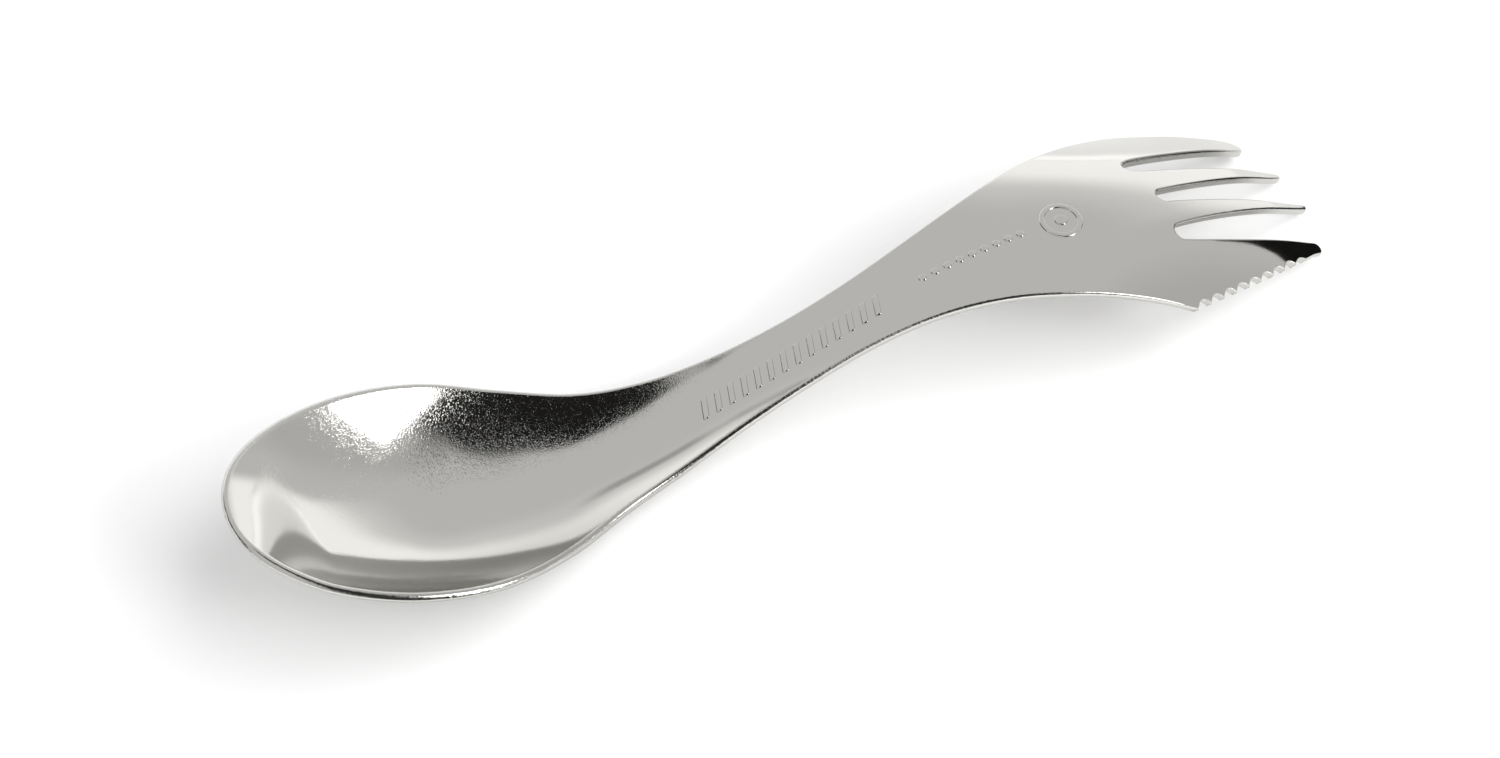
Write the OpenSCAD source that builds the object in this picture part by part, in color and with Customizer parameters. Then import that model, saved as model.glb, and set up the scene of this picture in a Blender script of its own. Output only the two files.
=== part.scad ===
/* [Overall] */
// Length from the lip of the spoon to the tips of the two middle tines
spork_l = 170; // [150:1:190]
// Thickness of the sheet that the spork is pressed from
sheet_t = 1.4; // [1:0.1:1.8]
// Width of the rounding on the upper and lower corner of every edge
edge_r = 0.3; // [0.1:0.05:0.4]

/* [Spoon] */
// Width across the rim of the spoon bowl
bowl_w = 35.4; // [32:0.1:40]
// Depth of the bowl below its rim
bowl_d = 9; // [6:0.5:10]
// Height of the underside of the spoon's lip above the table
lip_h = 20.1; // [17:0.2:22]

/* [Handle] */
// Clear height under the top of the handle's arch
arch_h = 15.8; // [13:0.1:18]
// Width of the waist of the handle
waist_w = 11.3; // [9:0.2:14]

/* [Fork] */
// Width across the fork head
head_w = 35.2; // [32:0.2:40]
// Drop of the sides of the fork head below its middle line
crown_h = 5.8; // [3:0.1:7]
// How far the rounded shoulder of the far side stands out
shoulder_out = 0.5; // [0:0.1:0.8]
// How far the two outer tines stop short of the middle ones
outer_back = 2.5; // [1:0.1:4]
// Distance from the middle tine tips back to the root of the middle gap
middle_gap_l = 28.6; // [24:0.1:31]
// Distance from the middle tine tips back to the roots of the outer gaps
outer_gap_l = 29.6; // [26:0.1:31]
// Width of the middle gap at its root
middle_root_w = 2.2; // [1.6:0.1:2.8]
// Width of the outer gaps at their roots
outer_root_w = 2.4; // [1.6:0.1:3]
// Width of the middle gap at the tips
middle_mouth_w = 6.4; // [5:0.1:7]
// Width of the outer gaps at the tips
outer_mouth_w = 6; // [4.5:0.1:6.5]

/* [Cutting edge] */
// Distance from the middle tine tips back to the heel of the cutting edge
heel_l = 32.2; // [30.5:0.1:35]
// How far the heel stands out from the line of the fork head
heel_out = 1.1; // [0.4:0.1:1.4]
// Number of notches, which share the length of the cutting edge evenly
notch_n = 9; // [5:1:11]
// Depth of the notches
notch_d = 0.9; // [0.5:0.1:1.1]

/* [Hidden] */
steel = "#c4c2bd";
worked_steel = "#b4b3ae";

// The length runs along X, from the lip at minus half to the tine tips at plus half.
// The underside leans out at the lip by a share of the sheet's thickness.
lip_lean_share = 0.3;
lip_x = lip_lean_share * sheet_t - spork_l / 2;
tip_x = spork_l / 2;
run_l = tip_x - lip_x;
outer_tip_x = tip_x - outer_back;
heel_x = tip_x - heel_l;
middle_root_x = tip_x - middle_gap_l;
outer_root_x = tip_x - outer_gap_l;

// Half widths, at equal steps from the lip to the tine tips, as shares of the widest
// half width of the end that they belong to. The waist lies between the two tables.
bowl_half_shares = [0.755, 0.907, 1.005, 0.994, 0.822, 0.591, 0.45, 0.359];
waist_half_shares = [1, 1.025];
head_half_shares = [0.398, 0.527, 0.703, 0.884, 1, 0.964, 0.851, 0.613];
// The lip closes in a round end. Its reach is a share of the bowl's width.
lip_round_share = 0.207;

// Height of the underside's middle line at the same steps. The lip has its own height,
// the spoon's floor and the tine tips lie near the table, and the rest are shares of
// the arch.
spine_shares = [0, 0.598, 0.197, 0.051, 0, 0, 0.081, 0.258, 0.469, 0.696, 0.884, 0.982, 1,
    0.963, 0.835, 0.628, 0.358, 0.004];
// How far the rim stands above the middle line, as shares of the bowl's depth.
dish_shares = [0, 0.73, 1, 0.82, 0.49, 0.3, 0.19, 0.12, 0.07, 0.03, 0, 0, 0, 0, 0, 0, 0, 0];
// How far the sides of the head lie below the middle line, as shares of its crown.
crown_shares = [0, 0, 0, 0, 0, 0, 0, 0, 0, 0, 0.03, 0.27, 0.53, 0.8, 0.93, 0.85, 0.62, 0.45];
// The wall of the bowl steepens towards the rim by this power of the distance.
dish_power_share = 2.3;

// Places of the joints between the regions, as shares of the length from the lip.
neck_share = 0.4;
throat_share = 0.6;
// Borders of the four tines across the head, as shares of its width from the near side.
lane_shares = [0, 0.295, 0.5, 0.705, 1];
lane_cols = 4;

// Rows of points along each region
bowl_rows = 34;
handle_rows = 15;
palm_rows = 13;
tine_rows = 12;
root_rows = 6;
lane_rows = 2;
end_rows = 7;
notch_rows = 6;
// Rows from the heel to the root of the gap beside the cutting edge, and round that root
cut_lane_rows = 3;
cut_root_rows = 10;
// Last row of a round end, as the share of a quarter turn that it reaches
end_turn_share = 0.93;

// Places of the tine tips and of the outer gaps off the middle line, as shares of half
// the head's width. An outer gap leans outwards from its root to its mouth.
middle_tip_share = 0.205;
outer_tip_share = 0.65;
outer_root_share = 0.415;
outer_mouth_share = 0.443;
// Where the round ends of the tines begin, as shares of their gap's length
middle_taper_share = 0.68;
outer_taper_share = 0.6;
cut_taper_share = 0.78;
cut_end_x = lerp(outer_root_x, outer_tip_x, cut_taper_share);
// The outer gaps open quickly at first, by this power of the distance from the root.
outer_gap_power_share = 0.65;
// Place of the shoulder from the tips and its reach, as shares of the head's width
shoulder_back_share = 0.74;
shoulder_reach_share = 0.176;
// Length of the rise to the heel, as a share of heel_l
heel_rise_share = 0.4;
// Half width where the straight cutting edge aims, as a share of half the head's width,
// how far the edge draws in before that, as a share of heel_out, and by which power
cut_end_share = 0.855;
cut_bow_share = 0.75;
cut_bow_power_share = 4;
// The last notch is shallower, by this share of notch_d.
last_notch_share = 0.6;
// A round end is fuller or leaner on one side, by this power of a quarter ellipse.
full_end_share = 0.6;
lean_end_share = 2;
// Edge rounding left where one tine lies against the next, as a share of edge_r
seam_share = 0.1;
// Rounding at a narrow end, as a share of its width there
end_edge_share = 0.3;
// Step for slopes, as a share of the length
slope_step_share = 0.0005;
slope_step = slope_step_share * spork_l;

function lerp(a, b, s) = a + (b - a) * s;
function unit(v) = v / norm(v);
function share_of(x) = (x - lip_x) / run_l;

// Smooth curve through a table of equally spaced values
function smooth(t, i, f) =
    let (a = t[max(i - 1, 0)], b = t[i], c = t[i + 1], d = t[min(i + 2, len(t) - 1)])
    b + f * ((c - a) + f * ((2 * a - 5 * b + 4 * c - d) + f * (3 * (b - c) + d - a))) / 2;
function table_at(t, share) =
    let (u = min(max(share, 0), 1) * (len(t) - 1), i = min(floor(u), len(t) - 2))
    smooth(t, i, u - i);

half_table = concat(bowl_half_shares * bowl_w / 2, waist_half_shares * waist_w / 2,
    head_half_shares * head_w / 2);
spine_table = [for (i = [0:len(spine_shares) - 1]) i == 0 ? lip_h : spine_shares[i] * arch_h];

function lip_round(x) = sqrt(1 - exp(-max(x - lip_x, 0) / (lip_round_share * bowl_w)));
function half_w(x) = table_at(half_table, share_of(x)) * lip_round(x);

// The far side has a shoulder on that line, where the head is widest.
shoulder_x = tip_x - shoulder_back_share * head_w;
shoulder_reach = shoulder_reach_share * head_w;
function far_w(x) = half_w(x) + shoulder_out * exp(-pow((x - shoulder_x) / shoulder_reach, 2));

// The near side follows the same line up to its heel. The cutting edge is straight from
// there, and draws in before the round end of its tine.
function heel_bump(x) = heel_out * pow(max(1 - (heel_x - x) / (heel_rise_share * heel_l), 0), 2);
heel_w = half_w(heel_x) + heel_out;
cut_end_w = cut_end_share * head_w / 2;
function cut_run(x) = (x - heel_x) / (cut_end_x - heel_x);
function near_w(x) = x < heel_x ? half_w(x) + heel_bump(x)
    : lerp(heel_w, cut_end_w, cut_run(x)) - cut_bow_share * heel_out * pow(cut_run(x), cut_bow_power_share);

// Height of the upper face over a point of the plan
function dish(x, y) =
    table_at(dish_shares, share_of(x)) == 0 ? 0
    : bowl_d * table_at(dish_shares, share_of(x)) * pow(abs(y) / max(half_w(x), edge_r), dish_power_share);
function crown(x, y) = crown_h * table_at(crown_shares, share_of(x)) * pow(y / (head_w / 2), 2);
// The lowest place of the middle line rests on the table.
low_steps = 200;
low_z = min([for (i = [0:low_steps]) table_at(spine_table, i / low_steps)]);
function face_z(x, y) = sheet_t - low_z + table_at(spine_table, share_of(x)) + dish(x, y) - crown(x, y);
function face_normal(p) = unit([
    face_z(p.x - slope_step, p.y) - face_z(p.x + slope_step, p.y),
    face_z(p.x, p.y - slope_step) - face_z(p.x, p.y + slope_step),
    2 * slope_step]);
// A point at a depth below the upper face, square to the face
function sunk(p, depth) = [p.x, p.y, face_z(p.x, p.y)] - depth * face_normal(p);

// One cross ring of the sheet. It has its two edge points, the inward directions there
// and the width of the edge rounding on each side.
function ring(near, far, near_in, far_in, near_r, far_r, shares) =
    let (a = near + near_in * near_r, b = far + far_in * far_r,
        line = [for (s = shares) lerp(a, b, s)], last = len(shares) - 1)
    concat([for (p = line) sunk(p, 0)],
        [sunk(far, far_r), sunk(far, sheet_t - far_r)],
        [for (i = [last:-1:0]) sunk(line[i], sheet_t)],
        [sunk(near, sheet_t - near_r), sunk(near, near_r)]);

// Closed skin over a row of rings. A shut end is flat where two regions meet, and an
// open one has its rounded corner.
function quad(a, b, c, d) = [[a, b, c], [a, c, d]];
function flat_end(o, m) = [for (j = [0:m - 1])
    each quad(o + j, o + j + 1, o + 2 * m + 2 - j, o + 2 * m + 3 - j)];
function end_corners(o, m) = [[o, o + 2 * m + 4, o + 2 * m + 5], [o, o + 2 * m + 3, o + 2 * m + 4],
    [o + m, o + m + 1, o + m + 2], [o + m, o + m + 2, o + m + 3]];
function end_faces(o, m) = concat(flat_end(o, m), end_corners(o, m));
function turned(faces) = [for (f = faces) [f[2], f[1], f[0]]];

module skin(rings) {
    n = len(rings[0]);
    m = (n - 6) / 2;
    last = len(rings) - 1;
    sides = [for (i = [0:last - 1]) for (k = [0:n - 1])
        each quad(i * n + k, i * n + (k + 1) % n, (i + 1) * n + (k + 1) % n, (i + 1) * n + k)];
    polyhedron(points = [for (r = rings) each r],
        faces = concat(sides, turned(end_faces(0, m)), end_faces(last * n, m)));
}

even_shares = [for (j = [0:lane_cols]) j / lane_cols];
col_shares = [for (k = [0:len(lane_shares) - 2]) for (j = [(k == 0 ? 0 : 1):lane_cols])
    lerp(lane_shares[k], lane_shares[k + 1], j / lane_cols)];

// Ring of the full width at one place along the length
function across(x, w_x) =
    let (near_slope = (near_w(w_x + slope_step) - near_w(w_x - slope_step)) / (2 * slope_step),
        far_slope = (far_w(w_x + slope_step) - far_w(w_x - slope_step)) / (2 * slope_step),
        square = x > lip_x + bowl_w / 2)
    ring([x, -near_w(w_x)], [x, far_w(w_x)],
        square ? [0, 1] : unit([near_slope, 1]), square ? [0, -1] : unit([far_slope, -1]),
        edge_r, edge_r, col_shares);

neck_x = lip_x + neck_share * run_l;
throat_x = lip_x + throat_share * run_l;
// The first row at the lip is a short flat. Its width is taken this share of the edge's
// rounding inside the lip.
lip_flat_share = 0.1;
lip_flat = lip_flat_share * edge_r;

module spoon_bowl() {
    color(steel) skin([for (i = [0:bowl_rows])
        let (x = lerp(lip_x, neck_x, pow(i / bowl_rows, 2)))
        across(x, max(x, lip_x + lip_flat))]);
}

module handle() {
    color(steel) skin([for (i = [0:handle_rows])
        let (x = lerp(neck_x, throat_x, i / handle_rows)) across(x, x)]);
}

module fork_palm() {
    color(steel) skin([for (i = [0:palm_rows])
        let (x = lerp(throat_x, heel_x, i / palm_rows)) across(x, x)]);
}

// Place of a border between two tines on the last row of the palm
function lane_y(k) = lerp(-near_w(heel_x) + edge_r, far_w(heel_x) - edge_r, lane_shares[k]);

// A gap has its root and its mouth as points of its middle line, its half width at
// each, and the power by which it widens. The root is a half round.
half_head = head_w / 2;
middle_gap = [[middle_root_x, 0], [tip_x, 0], middle_root_w / 2, middle_mouth_w / 2, 1];
outer_gap = [[outer_root_x, outer_root_share * half_head], [outer_tip_x, outer_mouth_share * half_head],
    outer_root_w / 2, outer_mouth_w / 2, outer_gap_power_share];

// Side of a gap at a place past its root, -1 for the near side and 1 for the far one
function gap_side(gap, x, side) =
    let (run_x = gap[0].x + gap[2], s = max(x - run_x, 0) / (gap[1].x - run_x))
    [x, lerp(gap[0].y, gap[1].y, s) + side * lerp(gap[2], gap[3], pow(s, gap[4]))];
// The same side from the palm's last row, round the root and on to end_x
function gap_edge(gap, lane, side, end_x, n_lane, n_root, n_run) =
    let (root = gap[0], r = gap[2])
    concat(
        [for (i = [0:n_lane - 1]) lerp([heel_x, lane_y(lane)], root, i / n_lane)],
        [for (i = [0:n_root]) let (q = 90 * i / n_root) root + r * [1 - cos(q), side * sin(q)]],
        [for (i = [1:n_run]) gap_side(gap, lerp(root.x + r, end_x, i / n_run), side)]);

// The round end of an edge, drawn in to the tip
function end_edge(from, tip, power) = [for (i = [1:end_rows])
    let (q = 90 * end_turn_share * i / end_rows)
    [lerp(from.x, tip.x, sin(q) / sin(90 * end_turn_share)), lerp(tip.y, from.y, pow(cos(q), power))]];

// Inward direction at a point of an edge, square to the line through its neighbours
function inward(path, i, side) = i == 0 ? [0, side]
    : let (d = path[min(i + 1, len(path) - 1)] - path[i - 1]) unit([-d.y, d.x]) * side;

// A tine between a near and a far edge. Rows before seam_rows lie against a neighbour.
module tine(near, far, near_seam, far_seam) {
    skin([for (i = [0:len(near) - 1])
        let (room = end_edge_share * norm(far[i] - near[i]), r = min(edge_r, room))
        ring(near[i], far[i], inward(near, i, 1), inward(far, i, -1),
            i < near_seam ? seam_share * edge_r : r, i < far_seam ? seam_share * edge_r : r,
            even_shares)]);
}

middle_tip = [tip_x, middle_tip_share * half_head];
outer_tip = [outer_tip_x, outer_tip_share * half_head];
middle_end_x = lerp(middle_root_x, tip_x, middle_taper_share);
outer_end_x = lerp(outer_root_x, outer_tip_x, outer_taper_share);

function with_end(path, tip, power = 1) = concat(path, end_edge(path[len(path) - 1], tip, power));
function flipped(path) = [for (p = path) [p.x, -p.y]];
// A flipped edge starts where its own border meets the palm.
function from_lane(path, lane) = [for (i = [0:len(path) - 1]) i == 0 ? [heel_x, lane_y(lane)] : path[i]];

// Far edge of the outer tine, along the side of the head
function side_edge(end_x) =
    [for (i = [0:lane_rows + root_rows + tine_rows])
        let (x = lerp(heel_x, end_x, i / (lane_rows + root_rows + tine_rows))) [x, far_w(x)]];

module outer_tine() {
    near = gap_edge(outer_gap, 3, 1, outer_end_x, lane_rows, root_rows, tine_rows);
    color(steel) tine(with_end(near, outer_tip), with_end(side_edge(outer_end_x), outer_tip), lane_rows, 0);
}

// Edges of a middle tine, on the far side of the middle line
middle_inner = with_end(gap_edge(middle_gap, 2, 1, middle_end_x, lane_rows, root_rows, tine_rows),
    middle_tip, full_end_share);
middle_outer = with_end(gap_edge(outer_gap, 3, -1, middle_end_x, lane_rows, root_rows, tine_rows),
    middle_tip, lean_end_share);

module far_middle_tine() {
    color(steel) tine(middle_inner, middle_outer, lane_rows, lane_rows);
}

module near_middle_tine() {
    color(steel) tine(from_lane(flipped(middle_outer), 1), from_lane(flipped(middle_inner), 2),
        lane_rows, lane_rows);
}

// Cutting edge, from the heel through the notches to the start of the round end
notch_pitch = (cut_end_x - heel_x) / notch_n;
function notch_deep(k) = notch_d * (k == notch_n - 1 ? last_notch_share : 1);
function cutting_edge() = concat(
    [for (k = [0:notch_n - 1]) for (j = [0:notch_rows - 1])
        let (s = j / notch_rows, x = heel_x + (k + s) * notch_pitch)
        [x, notch_deep(k) * (1 - pow(2 * s - 1, 2)) - near_w(x)]],
    [[cut_end_x, -near_w(cut_end_x)]]);

module cutting_tine() {
    run_rows = notch_n * notch_rows - cut_lane_rows - cut_root_rows;
    far = from_lane(flipped(gap_edge(outer_gap, 3, 1, cut_end_x, cut_lane_rows, cut_root_rows, run_rows)), 1);
    tip = [outer_tip.x, -outer_tip.y];
    near = with_end(cutting_edge(), tip, lean_end_share);
    color(worked_steel) tine(near, with_end(far, tip, full_end_share), 0, cut_lane_rows);
}

spoon_bowl();
handle();
fork_palm();
outer_tine();
far_middle_tine();
near_middle_tine();
cutting_tine();
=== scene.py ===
import math
import bmesh
import bpy
import numpy as np
from mathutils import Matrix, Vector


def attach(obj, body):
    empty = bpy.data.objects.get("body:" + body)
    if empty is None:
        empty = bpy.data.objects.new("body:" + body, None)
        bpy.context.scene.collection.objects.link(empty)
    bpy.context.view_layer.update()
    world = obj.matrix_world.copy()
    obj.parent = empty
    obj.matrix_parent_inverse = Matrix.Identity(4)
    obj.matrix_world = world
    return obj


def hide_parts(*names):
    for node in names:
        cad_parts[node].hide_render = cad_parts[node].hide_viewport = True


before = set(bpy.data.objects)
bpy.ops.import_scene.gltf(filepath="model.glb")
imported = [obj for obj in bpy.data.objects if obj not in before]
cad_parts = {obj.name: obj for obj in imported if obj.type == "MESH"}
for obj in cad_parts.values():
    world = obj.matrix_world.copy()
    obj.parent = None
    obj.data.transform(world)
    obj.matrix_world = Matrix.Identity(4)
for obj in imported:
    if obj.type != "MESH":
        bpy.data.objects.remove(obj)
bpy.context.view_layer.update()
mm = 0.001
mergeWithin = 4e-7      # metres

# one sheet of stainless, all in millimetres, X runs from the spoon's lip to the tine tips
sheet = {
    "length": 170.0,
    "thickness": 1.4,
    "edgeRadius": 0.45,
    "wornRadius": 0.5,      # bowl, handle and palm are rounded a little more than the tines
    "wornEndX": 50.0,
    "wornBlend": 6.0,
    "toothRadius": 0.2,     # the sawn edge is left sharper
    "lipLean": 0.42,        # the underside leans out past the upper face at the lip
    "bowlWidth": 35.4,
    "bowlDepth": 9.0,
    "lipHeight": 20.1,
    "lipReach": 7.328,      # how quickly the lip rounds off
    "archHeight": 15.8,
    "waistWidth": 11.3,
    "headWidth": 35.2,
    "crownHeight": 5.8,
    "wallPower": 2.3,       # how late the bowl's wall rises on its way out
    "tipDroop": 2.5,        # the tines bend down a little more at the end
    "neck": 0.4,            # the handle lies between these shares of the length
    "throat": 0.6,
    "narrowest": 0.3,       # half width that the press counts with at the very lip
}
# half widths at equal steps from lip to tips, as shares of the bowl, the waist and the head
bowlHalf = [0.755, 0.907, 1.005, 0.994, 0.822, 0.591, 0.45, 0.359]
waistHalf = [1.0, 1.025]
headHalf = [0.398, 0.527, 0.703, 0.884, 1.0, 0.964, 0.851, 0.613]
# height of the middle line at the same steps, after the lip's own, as shares of the arch
spine = [0.598, 0.197, 0.051, 0, 0, 0.081, 0.258, 0.469, 0.696, 0.884, 0.982, 1.0,
         0.963, 0.835, 0.628, 0.358, 0.004]
# rise of the bowl's wall and fall of the crown's sides at the same steps
dish = [0, 0.73, 1.0, 0.82, 0.49, 0.3, 0.19, 0.12, 0.07, 0.03, 0, 0, 0, 0, 0, 0, 0, 0]
crown = [0, 0, 0, 0, 0, 0, 0, 0, 0, 0, 0.03, 0.27, 0.53, 0.8, 0.93, 0.85, 0.62, 0.45]

lipX = sheet["lipLean"] - sheet["length"] / 2
tipX = sheet["length"] / 2
runLength = tipX - lipX
neckX = lipX + sheet["neck"] * runLength
throatX = lipX + sheet["throat"] * runLength
halfHead = sheet["headWidth"] / 2
halfTable = np.array([v * sheet["bowlWidth"] / 2 for v in bowlHalf]
                     + [v * sheet["waistWidth"] / 2 for v in waistHalf]
                     + [v * halfHead for v in headHalf])
spineTable = np.array([sheet["lipHeight"]] + [v * sheet["archHeight"] for v in spine])


def alongTable(table, x):
    # smooth curve through a table of equal steps
    table = np.asarray(table, float)
    place = np.clip((np.asarray(x, float) - lipX) / runLength, 0, 1) * (len(table) - 1)
    i = np.minimum(np.floor(place).astype(int), len(table) - 2)
    f = place - i
    a, b = table[np.maximum(i - 1, 0)], table[i]
    c, d = table[i + 1], table[np.minimum(i + 2, len(table) - 1)]
    return b + f * ((c - a) + f * ((2 * a - 5 * b + 4 * c - d) + f * (3 * (b - c) + d - a))) / 2


def spineAt(x):
    # height of the middle line, with the droop over the last step
    steps = len(spineTable) - 1
    f = np.clip((np.asarray(x, float) - lipX) / runLength * steps - (steps - 1), 0, 1)
    return alongTable(spineTable, x) + sheet["tipDroop"] * f ** 2 * (1 - f)


slopeStep = 0.01


def slopeOf(rule, x):
    return (rule(x + slopeStep) - rule(x - slopeStep)) / (2 * slopeStep)


def lipRound(x):
    return np.sqrt(1 - np.exp(-np.maximum(x - lipX, 0) / sheet["lipReach"]))


def halfWidth(x):
    return alongTable(halfTable, x) * lipRound(x)


# outline of the fork head: shoulder on the far side, heel and cutting edge on the near one
head = {
    "shoulderOut": 0.5,
    "shoulderX": 58.952,
    "shoulderReach": 6.195,
    "trimX": (62.0, 71.66),     # the far side is trimmed towards its tine
    "trim": 0.8,
    "trimPower": 1.2,
    "heelX": 52.8,
    "heelOut": 1.1,
    "heelRise": 12.88,
    "sharpFrom": 3.0,           # the rounded edge turns sharp this far before the heel
    "sharpBlend": 2.0,
    "cutEndX": 76.538,
    "cutEndWidth": 15.048,
    "cutBow": 0.825,            # the cutting edge bends in at its end
    "cutBowPower": 4,
    "notches": 9,
    "notchDepth": 0.9,
    "lastNotch": 0.6,           # depth of the last one as a share of the others
}
laneShares = [0, 0.295, 0.5, 0.705, 1.0]    # borders of the four tines across the head
laneColumns = 16                            # columns of points in each


def farWidth(x):
    start, end = head["trimX"]
    trim = head["trim"] * np.maximum((x - start) / (end - start), 0) ** head["trimPower"]
    away = (x - head["shoulderX"]) / head["shoulderReach"]
    return halfWidth(x) + head["shoulderOut"] * np.exp(-away ** 2) - trim


def nearWidth(x):
    x = np.asarray(x, float)
    rise = np.maximum(1 - (head["heelX"] - x) / head["heelRise"], 0)
    heel = halfWidth(head["heelX"]) + head["heelOut"]
    run = np.maximum((x - head["heelX"]) / (head["cutEndX"] - head["heelX"]), 0)
    blade = heel + (head["cutEndWidth"] - heel) * run - head["cutBow"] * run ** head["cutBowPower"]
    return np.where(x < head["heelX"], halfWidth(x) + head["heelOut"] * rise ** 2, blade)


def sawnEdge(x):
    # near outline as y over x, with the notches cut into it
    x = np.asarray(x, float)
    pitch = (head["cutEndX"] - head["heelX"]) / head["notches"]
    place = (x - head["heelX"]) / pitch
    tooth = np.floor(place)
    inside = (place > 0) & (place < head["notches"])
    deep = np.where(tooth >= head["notches"] - 1, head["lastNotch"], 1.0) * head["notchDepth"]
    return -nearWidth(x) + np.where(inside, deep * (1 - (2 * (place - tooth) - 1) ** 2), 0)


def sawnInside(x, radius, steps=81):
    # the same outline drawn in by the edge rounding, so that the notches meet in ridges
    reach = np.linspace(-radius, radius, steps)
    x = np.asarray(x, float)
    over = sawnEdge(x[..., None] + reach) + np.sqrt(np.maximum(radius ** 2 - reach ** 2, 0))
    return over.max(axis=-1)


def unitRows(v):
    return v / np.maximum(np.linalg.norm(v, axis=-1, keepdims=True), 1e-12)


def edgeRound(x):
    worn = np.clip((sheet["wornEndX"] - x) / sheet["wornBlend"], 0, 1)
    more = sheet["wornRadius"] - sheet["edgeRadius"]
    return sheet["edgeRadius"] + more * worn * worn * (3 - 2 * worn)


# an edge is (points, reach of its rounding into the metal, radius), one row for each ring
def farEdge(x):
    slope = slopeOf(farWidth, np.maximum(x, lipX + 2 * slopeStep))
    inward = unitRows(np.stack([slope, -np.ones_like(x)], -1))
    inward[x <= lipX] = (1, 0)
    radius = edgeRound(x)
    return np.stack([x, farWidth(x)], -1), inward * radius[:, None], radius


def nearEdge(x):
    slope = slopeOf(nearWidth, np.maximum(x, lipX + 2 * slopeStep))
    inward = unitRows(np.stack([slope, np.ones_like(x)], -1))
    inward[x <= lipX] = (1, 0)
    toHeel = np.clip((x - head["heelX"] + head["sharpFrom"]) / head["sharpBlend"], 0, 1)
    radius = edgeRound(x) + (sheet["toothRadius"] - sheet["edgeRadius"]) * toHeel
    sawn = np.stack([np.zeros_like(x), sawnInside(x, sheet["toothRadius"]) + nearWidth(x)], -1)
    inward = inward * radius[:, None] * (1 - toHeel[:, None]) + sawn * toHeel[:, None]
    return np.stack([x, -nearWidth(x)], -1), inward, radius


# steps in a quarter turn of an edge, and how far in from it the first column lies, in radii
edging = {"turns": 5, "support": 0.35}


def ringRows(near, far, shares):
    # every row is a closed ring: upper face, far edge, underside, near edge
    nearP, nearIn, nearR = near
    farP, farIn, farR = far
    a, b = nearP + nearIn, farP + farIn
    span = np.maximum(np.linalg.norm(b - a, axis=1), 1e-9)
    half = 0.5 * (shares[1] - shares[0])
    nearSupport = np.minimum(edging["support"] * nearR / span, half)
    farSupport = np.minimum(edging["support"] * farR / span, half)
    columns = [np.zeros(len(a)), nearSupport]
    columns += [np.full(len(a), s) for s in shares[1:-1]]
    columns += [1 - farSupport, np.ones(len(a))]
    deep = sheet["thickness"]

    def at(plan, depth):
        return np.concatenate([plan, -np.broadcast_to(depth, len(plan))[:, None]], axis=1)

    upper = [at(a + (b - a) * c[:, None], 0.0) for c in columns]
    lower = [at(a + (b - a) * c[:, None], deep) for c in columns[::-1]]

    def side(point, inward, radius):
        # from the upper face, and from the underside, to the middle of the wall
        up, down = [], []
        for k in range(1, edging["turns"] + 1):
            q = math.pi / 2 * k / edging["turns"]
            plan, drop = point + inward * (1 - math.sin(q)), radius * (1 - math.cos(q))
            up.append(at(plan, drop))
            down.append(at(plan, deep - drop))
        return up, down

    farUp, farDown = side(farP, farIn, farR)
    nearUp, nearDown = side(nearP, nearIn, nearR)
    loop = upper + farUp + farDown[::-1] + lower + nearDown + nearUp[::-1]
    farCut, nearCut = (farR > 0).astype(float), (nearR > 0).astype(float)
    face = np.zeros(len(a))
    cut = [face] * len(upper) + [farCut] * (2 * len(farUp))
    cut += [face] * len(lower) + [nearCut] * (2 * len(nearUp))
    return np.stack(loop, axis=1), np.stack(cut, axis=1), len(upper)


def loftSheet(name, near, far, shares, openStart=False, openEnd=False):
    rings, cut, top = ringRows(near, far, shares)
    rows, count = rings.shape[:2]
    turns = edging["turns"]
    faces = []
    for i in range(rows - 1):
        for k in range(count):
            k2 = (k + 1) % count
            faces.append((i * count + k, (i + 1) * count + k, (i + 1) * count + k2, i * count + k2))
    # flat ends, from face to underside, where the next region of the sheet carries on
    upperHalf = [count - k for k in range(turns, 0, -1)] + list(range(top + turns))
    lowerHalf = [2 * top + 2 * turns + k - 1 for k in range(turns, 0, -1)]
    lowerHalf += [2 * top + 2 * turns - 1 - k for k in range(top)]
    lowerHalf += [top + 2 * turns - k for k in range(1, turns + 1)]
    for row, shut, flip in ((0, not openStart, False), (rows - 1, not openEnd, True)):
        if not shut:
            continue
        for k in range(len(upperHalf) - 1):
            quad = [row * count + j for j in (*upperHalf[k:k + 2], *lowerHalf[k:k + 2][::-1])]
            faces.append(tuple(quad[::-1] if flip else quad))
    mesh = bpy.data.meshes.new(name)
    mesh.from_pydata((rings.reshape(-1, 3) * mm).tolist(), [], faces)
    layer = mesh.attributes.new("cutEdge", "FLOAT", "POINT")
    layer.data.foreach_set("value", cut.ravel().astype(np.float32))
    bm = bmesh.new()
    bm.from_mesh(mesh)
    bmesh.ops.remove_doubles(bm, verts=bm.verts, dist=mergeWithin)
    bm.to_mesh(mesh)
    bm.free()
    return mesh


# columns across the whole sheet, so that each tine's own columns carry on from the palm's
sheetColumns = [0.0]
for low, high in zip(laneShares, laneShares[1:]):
    sheetColumns += [low + (high - low) * j / laneColumns for j in range(1, laneColumns + 1)]

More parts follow.
